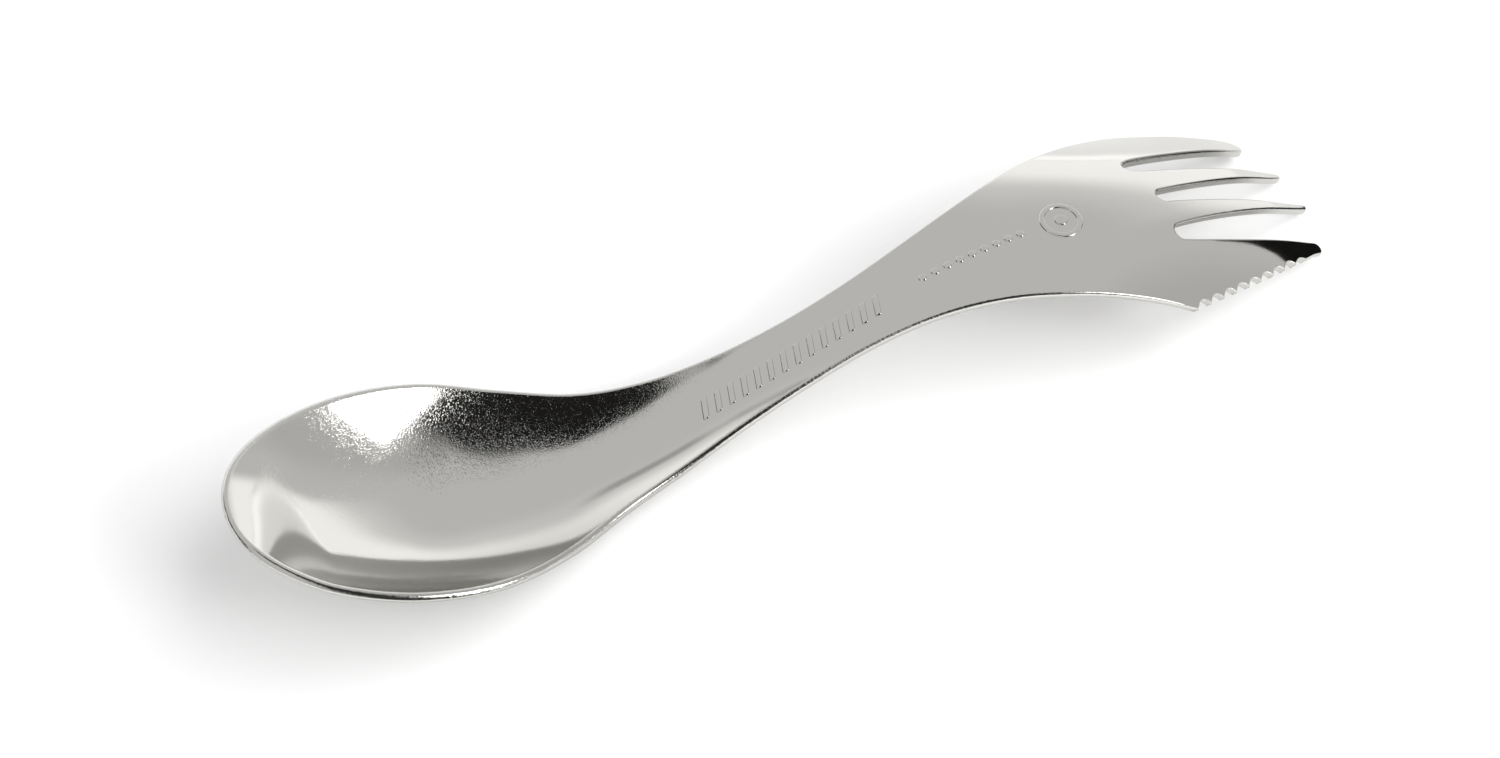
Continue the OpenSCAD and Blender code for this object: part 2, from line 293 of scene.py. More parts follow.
rowCounts = {"spoon_bowl": 150, "handle": 40, "fork_palm": 48}
bowlSteps = np.arange(rowCounts["spoon_bowl"] + 1) / rowCounts["spoon_bowl"]
rowsAt = {
    "spoon_bowl": lipX + (neckX - lipX) * bowlSteps ** 2,   # closer together towards the lip
    "handle": np.linspace(neckX, throatX, rowCounts["handle"] + 1),
    "fork_palm": np.linspace(throatX, head["heelX"], rowCounts["fork_palm"] + 1),
}
blanks = {}
for name, x in rowsAt.items():
    blanks[name] = loftSheet(name + "_blank", nearEdge(x), farEdge(x), sheetColumns,
                             openStart=name == "spoon_bowl")
print("bowl, handle and palm are cut out")

# tines, in millimetres
tines = {
    "rootRows": 14,
    "runRows": 56,
    "tipRows": 26,
    "rowsPerNotch": 20,
    "closestRows": 0.008,
    "tipCrowding": 1.6,     # rows lie closer towards a tip
    "rootEndX": 58.0,       # all tines share their rows up to here
    "middleEndX": 75.848,   # the sides curve in to the tips from here on
    "outerEndX": 71.66,
    # tip x and y, its round, and how full the near and the far side run on to it
    "outer": {"tip": (82.5, 10.8), "ball": 0.8, "near": 0.6, "far": 0.9},
    "farMiddle": {"tip": (85.0, 3.2), "ball": 0.6, "near": 1.4, "far": 0.6},
    "nearMiddle": {"tip": (85.0, -3.95), "ball": 0.6, "near": 1.6, "far": 0.6},
    "cutting": {"tip": (82.1, -12.1), "ball": 1.15, "near": 1.6, "far": 0.45},
}
# a gap starts at a half round root and opens towards its mouth: x, y and half width of both,
# the power by which it opens, and the border of lanes that runs into it
gaps = {
    "far": {"root": (55.4, 7.38, 1.2), "mouth": (82.5, 7.1, 2.7), "power": 0.5, "lane": 3},
    "middle": {"root": (56.4, -0.28, 1.1), "mouth": (85.0, -0.35, 3.2), "power": 1.0, "lane": 2},
    "near": {"root": (55.4, -7.15, 1.2), "mouth": (82.5, -8.0, 3.4), "power": 0.8, "lane": 1},
}


def lanePoint(k):
    # border k of the lanes on the palm's last row
    x = np.array([head["heelX"]])
    nearP, nearIn, nearR = nearEdge(x)
    farP, farIn, farR = farEdge(x)
    low, high = (nearP + nearIn)[0], (farP + farIn)[0]
    return low + (high - low) * laneShares[k]


def gapSide(gap, x, side):
    rootX, rootY, rootHalf = gap["root"]
    mouthX, mouthY, mouthHalf = gap["mouth"]
    start = rootX + rootHalf
    s = np.clip((x - start) / (mouthX - start), 0, 1)
    half = rootHalf + (mouthHalf - rootHalf) * s ** gap["power"]
    return np.stack([x, rootY + (mouthY - rootY) * s + side * half], -1)


def gapEdge(name, side, x):
    # edge of a tine beside a gap: along the seam with its neighbour, round the root, down the side
    gap = gaps[name]
    r = sheet["edgeRadius"]
    rx, ry, rr = gap["root"]
    apex = rx - r
    points, inward = np.zeros((len(x), 2)), np.zeros((len(x), 2))
    seam, arc = x < apex - 1e-6, (x >= apex - 1e-6) & (x < rx + rr)
    run = x >= rx + rr
    share = ((x - head["heelX"]) / (apex - head["heelX"]))[:, None]
    border = lanePoint(gap["lane"])
    points[seam] = (border + (np.array([apex, ry]) - border) * share)[seam]
    bend = np.arccos(np.clip(1 - (x[arc] - apex) / (rr + r), -1, 1))
    points[arc] = np.stack([rx + rr * (1 - np.cos(bend)), ry + rr * side * np.sin(bend)], -1)
    inward[arc] = np.stack([-np.cos(bend), side * np.sin(bend)], -1)

    def square(at, step=0.25):
        ahead = gapSide(gap, at + step, side) - gapSide(gap, at - step, side)
        return unitRows(np.stack([-ahead[:, 1], ahead[:, 0]], -1)) * side

    outlineX = np.maximum(x[run] - square(x[run])[:, 0] * r, rx + rr)
    points[run] = gapSide(gap, outlineX, side)
    inward[run] = square(outlineX)
    radius = np.where(seam, 0.0, r)
    return points, inward * radius[:, None], radius


def rowsOver(end, extra):
    # rows across the tines, close together where a root begins
    wanted = {head["heelX"], end}
    for gap in (gaps["far"], gaps["middle"]):
        rx, ry, rr = gap["root"]
        apex = rx - sheet["edgeRadius"]
        wanted.add(apex)
        turns = np.arange(1, tines["rootRows"] + 1) / tines["rootRows"] * math.pi / 2
        extra = np.concatenate([extra, apex + (rx + rr - apex) * (1 - np.cos(turns))])
    rows = sorted(wanted)
    for x in np.sort(extra):
        if head["heelX"] < x < end and min(abs(x - row) for row in rows) > tines["closestRows"]:
            rows.append(float(x))
    return np.array(sorted(rows))


def sideCurve(start, slope, tip, power, side, steps=500):
    # leaves the straight part in its own direction and closes on the tip
    q = np.linspace(0, math.pi / 2, steps)
    share = np.sin(q)
    lead = slope * (tip[0] - start[0]) / (start[1] - tip[1]) * share * (1 - share)
    x = start[0] + (tip[0] - start[0]) * share
    y = tip[1] + (start[1] - tip[1]) * np.cos(q) ** power * (1 + lead)
    points = np.stack([x, y], -1)
    along = np.gradient(points, axis=0)
    return points, unitRows(np.stack([-along[:, 1], along[:, 0]], -1)) * side


def tipEnds(near, far, nearSlope, farSlope, end, tries=5, arcSteps=60):
    # both edges run on to one round tip that touches them, and each try brings it nearer its place
    tip, ball = end["tip"], end["ball"]
    reach = 0.0
    for attempt in range(tries):
        goal = (tip[0] + reach, tip[1])
        nearP, nearIn = sideCurve(near[0][-1], nearSlope, goal, end["near"], 1)
        farP, farIn = sideCurve(far[0][-1], farSlope, goal, end["far"], -1)
        centres = nearP + nearIn * ball
        away = np.linalg.norm(centres[:, None] - farP[None, :], axis=-1)
        i = int(np.argmax(away.min(axis=1) <= ball))
        j = int(np.argmin(away[i]))
        centre = centres[i]
        farIn[j] = unitRows(centre - farP[j])
        out = unitRows(-nearIn[i] - farIn[j])
        reach += tip[0] - (centre + out * ball)[0]
    rows = []
    steps = np.arange(1, tines["tipRows"] + 1) / tines["tipRows"]
    share = 1 - (1 - steps) ** tines["tipCrowding"]
    for points, inward, last in ((nearP, nearIn, i), (farP, farIn, j)):
        startAngle = math.atan2(-inward[last][1], -inward[last][0])
        endAngle = math.atan2(out[1], out[0])
        turn = startAngle + (endAngle - startAngle) * np.linspace(0, 1, arcSteps)[1:]
        arcIn = -np.stack([np.cos(turn), np.sin(turn)], -1)
        allP = np.concatenate([points[:last + 1], centre - arcIn * ball])
        allIn = np.concatenate([inward[:last + 1], arcIn])
        run = np.concatenate([[0], np.cumsum(np.linalg.norm(np.diff(allP, axis=0), axis=1))])
        place = share * run[-1]
        p = np.stack([np.interp(place, run, allP[:, n]) for n in (0, 1)], -1)
        d = unitRows(np.stack([np.interp(place, run, allIn[:, n]) for n in (0, 1)], -1))
        rows.append((p, d))
    joined = []
    for (edgeP, edgeIn, edgeR), (p, d) in zip((near, far), rows):
        # the sawn edge's small rounding grows to the full one half way to the tip
        radius = edgeR[-1] + (sheet["edgeRadius"] - edgeR[-1]) * np.minimum(share * 2, 1)
        joined.append((np.concatenate([edgeP, p]), np.concatenate([edgeIn, d * radius[:, None]]),
                       np.concatenate([edgeR, radius])))
    return joined


sawRows = head["notches"] * tines["rowsPerNotch"]
sawX = head["heelX"] + (head["cutEndX"] - head["heelX"]) * np.arange(sawRows + 1) / sawRows
plainX = np.linspace(tines["rootEndX"], tines["middleEndX"], tines["runRows"])
plainX = np.concatenate([sawX[sawX < tines["rootEndX"]], plainX])
middleX = rowsOver(tines["middleEndX"], plainX)
outerX = rowsOver(tines["outerEndX"], plainX)
cutX = rowsOver(head["cutEndX"], sawX)
sawY = sawnEdge(cutX)
sawIn = np.stack([np.zeros_like(cutX), sawnInside(cutX, sheet["toothRadius"]) - sawY], -1)
saw = (np.stack([cutX, sawY], -1), sawIn, np.full(len(cutX), sheet["toothRadius"]))


def endSlope(edge):
    step = edge[0][-1] - edge[0][-2]
    return step[1] / step[0]


def cutTine(name, near, far, end, nearSlope=None):
    nearSlope = endSlope(near) if nearSlope is None else nearSlope
    near, far = tipEnds(near, far, nearSlope, endSlope(far), tines[end])
    shares = [j / laneColumns for j in range(laneColumns + 1)]
    blanks[name] = loftSheet(name + "_blank", near, far, shares, openEnd=True)


cutTine("far_middle_tine",
        gapEdge("middle", 1, middleX), gapEdge("far", -1, middleX), "farMiddle")
cutTine("near_middle_tine",
        gapEdge("near", 1, middleX), gapEdge("middle", -1, middleX), "nearMiddle")
cutTine("outer_tine", gapEdge("far", 1, outerX), farEdge(outerX), "outer")
# the blade runs on from the outline without its notches
bladeSlope = -slopeOf(nearWidth, np.array([head["cutEndX"]]))[0]
cutTine("cutting_tine", saw, gapEdge("near", -1, cutX), "cutting", bladeSlope)
print("tines are cut out")


class Wire:
    # a node socket that can be used in plain sums
    def __init__(self, tree, socket=None):
        self.tree = tree
        self.socket = socket

    def make(self, kind, settings=None, values=None, out=0):
        node = self.tree.nodes.new(kind)
        for key, value in (settings or {}).items():
            setattr(node, key, value)
        for key, value in (values or {}).items():
            if isinstance(value, Wire):
                self.tree.links.new(value.socket, node.inputs[key])
            else:
                node.inputs[key].default_value = value
        return Wire(self.tree, node.outputs[out])

    def sum(self, operation, *others):
        values = dict(enumerate((self,) + others))
        return self.make("ShaderNodeMath", {"operation": operation}, values)

    def flipped(self, operation, other):
        return self.make("ShaderNodeMath", {"operation": operation}, {0: other, 1: self})

    def __add__(self, other):
        return self.sum("ADD", other)

    def __sub__(self, other):
        return self.sum("SUBTRACT", other)

    def __mul__(self, other):
        return self.sum("MULTIPLY", other)

    def __truediv__(self, other):
        return self.sum("DIVIDE", other)

    def __pow__(self, other):
        return self.sum("POWER", other)

    def __neg__(self):
        return self.sum("MULTIPLY", -1.0)

    def __radd__(self, other):
        return self.flipped("ADD", other)

    def __rsub__(self, other):
        return self.flipped("SUBTRACT", other)

    def __rmul__(self, other):
        return self.flipped("MULTIPLY", other)

    def __rtruediv__(self, other):
        return self.flipped("DIVIDE", other)

    def ease(self, low, high, start=0.0, end=1.0):
        # soft step from start to end as the value goes from low to high
        values = {"Value": self, "From Min": low, "From Max": high, "To Min": start, "To Max": end}
        return self.make("ShaderNodeMapRange", {"interpolation_type": "SMOOTHSTEP"}, values)

    def band(self, low, full, fading, gone):
        # up from low to full, and down again from fading to gone
        return self.ease(low, full) * self.ease(gone, fading)

    def parts(self):
        node = self.tree.nodes.new("ShaderNodeSeparateXYZ")
        self.tree.links.new(self.socket, node.inputs[0])
        return [Wire(self.tree, out) for out in node.outputs]

    def vector(self, operation, other=None, out=0):
        values = {0: self} if other is None else {0: self, 1: other}
        return self.make("ShaderNodeVectorMath", {"operation": operation}, values, out)

    def endAt(self, kind):
        # the last node of a tree
        self.tree.links.new(self.socket, self.tree.nodes.new(kind).inputs[0])


def shapeTree(name, wanted):
    # a geometry tree with named inputs and one geometry out
    tree = bpy.data.node_groups.new(name, "GeometryNodeTree")
    names = {}
    for label, kind in wanted.items():
        kind = "NodeSocket" + kind
        item = tree.interface.new_socket(name=label, in_out="INPUT", socket_type=kind)
        names[label] = item.identifier
    tree.interface.new_socket(name="Geometry", in_out="OUTPUT", socket_type="NodeSocketGeometry")
    given = tree.nodes.new("NodeGroupInput")
    return tree, names, {out.name: Wire(tree, out) for out in given.outputs if out.name}


def endInSteel(geometry, material):
    real = geometry.make("GeometryNodeRealizeInstances", None, {"Geometry": geometry})
    values = {"Geometry": real, "Material": material}
    real.make("GeometryNodeSetMaterial", None, values).endAt("NodeGroupOutput")


def shaderOf(owner):
    # an empty tree on a material or the world
    owner.use_nodes = True
    owner.node_tree.nodes.clear()
    return Wire(owner.node_tree)


def addObject(name, data):
    obj = bpy.data.objects.new(name, data)
    bpy.context.scene.collection.objects.link(obj)
    return obj


def bakeTree(obj, tree, names, values):
    # runs a tree on an object and keeps the plain mesh that comes out
    modifier = obj.modifiers.new(tree.name, "NODES")
    modifier.node_group = tree
    for name, value in values.items():
        modifier[names[name]] = value
    bpy.context.view_layer.update()
    ready = obj.evaluated_get(bpy.context.evaluated_depsgraph_get())
    mesh = bpy.data.meshes.new_from_object(ready)
    obj.modifiers.remove(modifier)
    old = obj.data
    obj.data = mesh
    bpy.data.meshes.remove(old)
    return mesh


# the floor is at height 0, so the sheet's lowest stretch lies on it
lowest = alongTable(spineTable, np.linspace(lipX, tipX, 201)).min()


def tableSlope(table, x):
    return slopeOf(lambda at: alongTable(table, at), x)


def sectionAttributes(mesh):
    # what the press needs to know about the place along the sheet
    co = np.empty(len(mesh.vertices) * 3)
    mesh.vertices.foreach_get("co", co)
    x = co[0::3] / mm
    u = np.maximum(x - lipX, 1e-4)
    shareOut = lipRound(lipX + u)
    width = alongTable(halfTable, x)
    lipSlope = width * np.exp(-u / sheet["lipReach"]) / (2 * sheet["lipReach"] * shareOut)
    values = {
        "spine": (sheet["thickness"] - lowest + spineAt(x)) * mm,
        "spineSlope": slopeOf(spineAt, x),
        "dish": alongTable(dish, x),
        "dishSlope": tableSlope(dish, x) / mm,
        "crown": alongTable(crown, x),
        "crownSlope": tableSlope(crown, x) / mm,
        "halfWidth": width * shareOut * mm,
        "halfWidthSlope": tableSlope(halfTable, x) * shareOut + lipSlope,
    }
    for name, data in values.items():
        layer = mesh.attributes.new(name, "FLOAT", "POINT")
        layer.data.foreach_set("value", data.astype(np.float32))


def pressTree():
    # bends the flat blank: each point goes to the formed face, its depth square to that face
    tree, names, wire = shapeTree("press", {
        "Geometry": "Geometry", "Bowl depth": "Float", "Wall power": "Float",
        "Crown height": "Float", "Half head": "Float", "Steel": "Material"})
    start = Wire(tree)

    def read(name):
        return start.make("GeometryNodeInputNamedAttribute", {"data_type": "FLOAT"}, {"Name": name})

    x, y, depth = start.make("GeometryNodeInputPosition").parts()
    half = read("halfWidth").sum("MAXIMUM", sheet["narrowest"] * mm)
    across = y.sum("ABSOLUTE") / half
    power = wire["Wall power"]
    wall = across ** power
    deepest = wire["Bowl depth"]
    deep = deepest * read("dish")
    ratio = y / wire["Half head"]
    fall = wire["Crown height"] * read("crown") * ratio
    z = read("spine") + deep * wall - fall * ratio
    widening = read("dish") * power * read("halfWidthSlope") / half
    bowlAlong = deepest * wall * (read("dishSlope") - widening)
    crownAlong = wire["Crown height"] * read("crownSlope") * ratio * ratio
    along = read("spineSlope") + bowlAlong - crownAlong
    bowlOut = deep * power * (across ** (power - 1.0)) * y.sum("SIGN") / half
    out = bowlOut - fall * 2.0 / wire["Half head"]
    normal = start.make("ShaderNodeCombineXYZ", None, {0: -along, 1: -out, 2: 1.0})
    normal = normal.vector("NORMALIZE")
    face = start.make("ShaderNodeCombineXYZ", None, {0: x, 1: y, 2: z})
    sunk = start.make("ShaderNodeVectorMath", {"operation": "SCALE"}, {0: normal, "Scale": depth})
    moved = start.make("GeometryNodeSetPosition", None,
                       {"Geometry": wire["Geometry"], "Position": face.vector("ADD", sunk)})
    endInSteel(moved, wire["Steel"])
    return tree, names


# steel finish: grain as marks for each metre, places and depth in metres
finish = {
    "colour": (0.55, 0.543, 0.518, 1.0),
    # the sheared walls' colour: duller cut metal, painted darker still as shade between the tines
    "sheared": (0.34, 0.335, 0.32, 1.0),
    # painted shade: the colour of the bowl's near wall where it is shaded
    "nearWallShadeColour": (0.42, 0.415, 0.395, 1.0),
    "roughness": 0.08,
    "rougher": {"cloud": 0.05, "pitted": 0.02, "cut": 0.1},
    "cloud": 90.0,
    "fine": 5000.0,
    "scratches": 700.0,
    "scratchWidth": 0.01,
    "cutGrain": 2200.0,
    # only some cells hold a pit or a dent, and size is its width as a share of the cell
    "pits": {"scale": 5000.0, "kept": 0.5, "size": 0.6},
    "dents": {"scale": 3000.0, "kept": 0.68, "size": 0.45},
    "dentHeight": 1.7,      # beside a pit's
    "depth": 0.00003,
    # shares of that depth
    "heights": {"pit": 0.42, "scratch": 0.07, "fine": 0.09, "bowlFine": 0.06, "cut": 1.4},
    # where they fade in and out along x or across y
    "bowlX": (-0.083, -0.066, -0.03, -0.006),
    "pittedY": (-0.007, 0.006),
    "pitsFadeX": (-0.03, -0.058),
    "pitsFade": (0.5, 0.85),
    # where the painted shade on the bowl's near wall fades in across y
    "nearWallShadeY": (-0.005, -0.012),
    "nearWallShade": (0.6, 0.6),  # painted shade, evenly and in clouds
    # where the painted shade on the sheared walls between the tines lies, along x and across y
    "tineWallShadeX": (0.052, 0.056, 0.072, 0.08),
    "tineWallShadeY": (-0.0135, -0.012),
}


def stainlessSteel():
    material = bpy.data.materials.new("rolled_stainless")
    start = shaderOf(material)
    place = start.make("ShaderNodeTexCoord", out="Object")
    cut = start.make("ShaderNodeAttribute", {"attribute_name": "cutEdge"}, out="Fac")
    x, y = place.parts()[:2]

    def noise(scale, detail=1.0, warp=0.0):
        values = {"Vector": place, "Scale": scale, "Detail": detail, "Distortion": warp}
        return start.make("ShaderNodeTexNoise", None, values)

    def specks(scale, kept, size, soft=0.02):
        # round hollows in only some of the cells
        values = {"Vector": place, "Scale": scale}
        away = start.make("ShaderNodeTexVoronoi", None, values, "Distance")
        chance = start.make("ShaderNodeTexVoronoi", None, values, "Color").parts()[0]
        return away.ease(0.0, size, 1.0, 0.0) * chance.ease(kept, kept + soft)

    def mix(share, first, second):
        values = {0: share, 6: first, 7: second}
        return start.make("ShaderNodeMix", {"data_type": "RGBA"}, values, 2)

    # the far half of the bowl is pitted from tumbling, less towards the neck
    inBowl = x.band(*finish["bowlX"])
    pitted = inBowl * y.ease(*finish["pittedY"])
    cloud = noise(finish["cloud"], 4.0)
    scratch = noise(finish["scratches"], 2.0, 1.5)
    line = (scratch - 0.5).sum("ABSOLUTE").ease(0.0, finish["scratchWidth"], 1.0, 0.0)
    fine = noise(finish["fine"])
    sheared = noise(finish["cutGrain"], 3.0)
    rougher = finish["rougher"]
    roughness = finish["roughness"] + (cloud - 0.5) * rougher["cloud"] \
        + pitted * rougher["pitted"] + cut * rougher["cut"]
    dented = specks(**finish["pits"]) + specks(**finish["dents"]) * finish["dentHeight"]
    dented = dented * x.ease(*finish["pitsFadeX"], *finish["pitsFade"])
    heights = finish["heights"]
    height = (dented * heights["pit"] + line * heights["scratch"]) * pitted \
        + fine * (heights["fine"] + inBowl * heights["bowlFine"]) + sheared * cut * heights["cut"]
    values = {"Strength": 1.0, "Distance": finish["depth"], "Height": height}
    bump = start.make("ShaderNodeBump", None, values)
    # painted shade: the near wall of the bowl is coloured darker as if shaded, and the sheared
    # walls between the tines are duller cut metal painted darker still as shade
    even, clouded = finish["nearWallShade"]
    # painted shade on the bowl's near wall
    nearWallShade = inBowl * y.ease(*finish["nearWallShadeY"]) * (even + cloud * clouded)
    colour = mix(nearWallShade, finish["colour"], finish["nearWallShadeColour"])
    # painted shade darkens the sheared walls between the tines
    tineWallShade = cut * x.band(*finish["tineWallShadeX"]) * y.ease(*finish["tineWallShadeY"])
    colour = mix(tineWallShade, colour, finish["sheared"])
    values = {"Base Color": colour, "Metallic": 1.0, "Roughness": roughness, "Normal": bump}
    start.make("ShaderNodeBsdfPrincipled", None, values).endAt("ShaderNodeOutputMaterial")
    return material


steel = stainlessSteel()
press, pressNames = pressTree()
pressValues = {"Bowl depth": sheet["bowlDepth"] * mm, "Wall power": sheet["wallPower"],
               "Crown height": sheet["crownHeight"] * mm, "Half head": halfHead * mm,
               "Steel": steel}
pressed = {}
for node, blank in blanks.items():
    sectionAttributes(blank)
    pressed[node] = addObject(node + "_sheet", blank)
    bakeTree(pressed[node], press, pressNames, pressValues)
print("sheet is pressed")


stepsPerMetre = 1e6     # points that round to the same step are shared


def shareNormals(pieces):
    # neighbours meet point to point, so one normal for each shared point hides the joint
    total = {}
    found = []
    for piece in pieces:
        mesh = piece.data
        co = np.empty(len(mesh.vertices) * 3)
        mesh.vertices.foreach_get("co", co)
        co = co.reshape(-1, 3)
        corners = np.empty(len(mesh.loops), int)
        mesh.loops.foreach_get("vertex_index", corners)
        starts = np.empty(len(mesh.polygons), int)
        counts = np.empty(len(mesh.polygons), int)
        mesh.polygons.foreach_get("loop_start", starts)
        mesh.polygons.foreach_get("loop_total", counts)
        last = starts + counts - 1
        before = np.arange(len(corners)) - 1
        after = np.arange(len(corners)) + 1
        before[starts] = last
        after[last] = starts
        here = co[corners]
        toNext = unitRows(co[corners[after]] - here)
        toLast = unitRows(co[corners[before]] - here)
        normal = unitRows(np.cross(toNext, toLast))
        angle = np.arccos(np.clip((toNext * toLast).sum(1), -1, 1))
        sums = np.zeros_like(co)
        np.add.at(sums, corners, normal * angle[:, None])
        keys = [tuple(k) for k in np.round(co * stepsPerMetre).astype(int)]
        for key, value in zip(keys, sums):
            total[key] = total.get(key, 0) + value
        found.append((mesh, keys))
    for mesh, keys in found:
        normals = unitRows(np.array([total[k] for k in keys]))
        mesh.polygons.foreach_set("use_smooth", [True] * len(mesh.polygons))
        mesh.normals_split_custom_set_from_vertices(normals.tolist())


shareNormals(list(pressed.values()))
for node, piece in pressed.items():
    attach(piece, "root")
    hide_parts(node)
print("pieces are dressed")

# plain raised marks on the face, in millimetres, laid out on the flat blank
marks = {
    "sink": 0.15,           # they start inside the sheet
    "height": 0.16,
    "bevel": 0.16,
    # inset as shares of the bevel and rise as shares of the height
    "shoulder": [(0.0, 0.0), (0.25, 0.5), (0.6, 0.88), (1.0, 1.0), (1.35, 1.0)],
    "bar": {"width": 0.95, "length": 3.3, "slant": 0.3},
    "barRow": {"first": (-18.6, -0.3), "count": 14, "step": 2.1},
    "dotRadius": 0.62,
    "dotRow": {"first": (16.2, 0.0), "count": 9, "step": 2.0},
    "ring": {"radius": 3.25, "wall": 0.85},
    "bossRadius": 1.0,
    "ringCentre": (39.0, -0.15),
}


def markProfile():
    rise = [(inset * marks["bevel"], high * marks["height"]) for inset, high in marks["shoulder"]]
    return [(0.0, -marks["sink"])] + rise


def padMesh(name, outline):
    # raised pad with a rounded shoulder over any outward bulging outline
    outline = np.array(outline)
    count = len(outline)
    ahead = unitRows(np.roll(outline, -1, axis=0) - outline)
    behind = np.roll(ahead, 1, axis=0)
    square = np.stack([-ahead[:, 1], ahead[:, 0]], -1)
    inward = np.stack([-(ahead + behind)[:, 1], (ahead + behind)[:, 0]], -1)
    # longer at a corner, so that the inset is the same on both of its sides
    reach = (unitRows(inward) * square).sum(1) * np.linalg.norm(inward, axis=1)
    inward = inward / np.maximum(reach, 1e-9)[:, None]
    rings = [np.concatenate([outline + inward * inset, np.full((count, 1), high)], axis=1)
             for inset, high in markProfile()]
    faces = [tuple(range(count))[::-1]]
    for i in range(len(rings) - 1):
        for k in range(count):
            k2 = (k + 1) % count
            faces.append((i * count + k, i * count + k2, (i + 1) * count + k2, (i + 1) * count + k))
    faces.append(tuple((len(rings) - 1) * count + k for k in range(count)))
    mesh = bpy.data.meshes.new(name)
    mesh.from_pydata((np.concatenate(rings) * mm).tolist(), [], faces)
    return mesh


def ringMesh(name, radius, wall, steps=96):
    rise = markProfile()
    profile = [(radius - inset, high) for inset, high in rise]
    profile += [(radius - wall + inset, high) for inset, high in rise[::-1]]
    turns = np.arange(steps) / steps * 2 * math.pi
    points = np.array([[(r * math.cos(q), r * math.sin(q), high) for r, high in profile]
                       for q in turns])
    count = len(profile)
    faces = []
    for i in range(steps):
        j = (i + 1) % steps
        for k in range(count):
            k2 = (k + 1) % count
            faces.append((i * count + k, j * count + k, j * count + k2, i * count + k2))
    mesh = bpy.data.meshes.new(name)
    mesh.from_pydata((points.reshape(-1, 3) * mm).tolist(), [], faces)
    return mesh


def roundOutline(radius, steps=32):
    turns = np.arange(steps) / steps * 2 * math.pi
    return [(radius * math.cos(q), radius * math.sin(q)) for q in turns]


def barOutline(width, length, slant, corner=0.2, turns=4):
    points = []
    for sx, sy, start in ((1, -1, -90), (1, 1, 0), (-1, 1, 90), (-1, -1, 180)):
        for k in range(turns + 1):
            q = math.radians(start + 90 * k / turns)
            x = sx * (width / 2 - corner) + corner * math.cos(q)
            y = sy * (length / 2 - corner) + corner * math.sin(q)
            points.append((x + slant * y, y))
    return points


def rowTree():
    # one stamp set out along a straight row on the flat blank
    tree, names, wire = shapeTree("stamp_row", {
        "Geometry": "Geometry", "Stamp": "Object", "Count": "Int",
        "First": "Vector", "Step": "Vector", "Steel": "Material"})
    start = Wire(tree)
    values = {"Count": wire["Count"], "Start Location": wire["First"], "Offset": wire["Step"]}
    row = start.make("GeometryNodeMeshLine", {"mode": "OFFSET"}, values)
    stamp = start.make("GeometryNodeObjectInfo", {"transform_space": "ORIGINAL"},
                       {"Object": wire["Stamp"]}, "Geometry")
    placed = start.make("GeometryNodeInstanceOnPoints", None, {"Points": row, "Instance": stamp})
    endInSteel(placed, wire["Steel"])
    return tree, names


stampRow, stampNames = rowTree()


def makeMarks(name, stampMesh, first, count=1, step=0.0):
    # set out flat, then pressed with the sheet's own curve
    stamp = addObject(name + "_stamp", stampMesh)
    row = addObject(name, bpy.data.meshes.new(name + "_row"))
    bakeTree(row, stampRow, stampNames, {
        "Stamp": stamp, "Count": count, "First": (first[0] * mm, first[1] * mm, 0.0),
        "Step": (step * mm, 0.0, 0.0), "Steel": steel})
    bpy.data.objects.remove(stamp)
    sectionAttributes(row.data)
    bakeTree(row, press, pressNames, pressValues)
    for face in row.data.polygons:
        face.use_smooth = True
    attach(row, "root")


makeMarks("handle_bars", padMesh("bar", barOutline(**marks["bar"])), **marks["barRow"])
makeMarks("palm_dots", padMesh("dot", roundOutline(marks["dotRadius"])), **marks["dotRow"])
makeMarks("palm_ring", ringMesh("ring", **marks["ring"]), marks["ringCentre"])
makeMarks("ring_boss", padMesh("boss", roundOutline(marks["bossRadius"])), marks["ringCentre"])
print("marks are stamped")

# studio, in metres and degrees: a white floor, a soft box that the steel mirrors and two silks that
# it doesn't; a lamp is width, height, azimuth, rise, distance and power
studio = {
    "softBox": (0.34, 0.52, -51.0, 30.0, 1.0, 3.4),
    "sideSilk": (1.6, 1.6, -20.0, 43.0, 1.5, 22.0),
    "nearSilk": (1.2, 0.6, -112.0, 32.0, 1.5, 4.0),
    "floorSize": 6.0,
    "floorWhite": 0.88,
    "floorGlow": 0.03,      # for the camera only
    "paleFrom": (0.2, 1.2),     # the floor fades to white this far out
    "mirrorGlow": 0.5,      # for the steel only, which sees the floor brighter on both sides
    "nearGlowY": (0.02, 0.045),
    "farGlowY": (0.07, 0.16),
    # but not beyond a line that starts at the lip
    "glowLine": {"x": -0.08, "slope": 0.55, "fade": (-0.02, 0.12), "fadeY": (0.04, 0.06)},
}
flag = {
    "x": 0.1,
    "outline": [(-0.018, 0.0005), (0.003, 0.0005), (0.003, 0.03), (-0.0057, 0.03), (-0.0085, 0.023),
                (-0.0117, 0.019), (-0.018, 0.016)],
    "black": 0.01,
    "seenWithin": (0.09, 0.1),      # the bowl at the other end doesn't see it
}
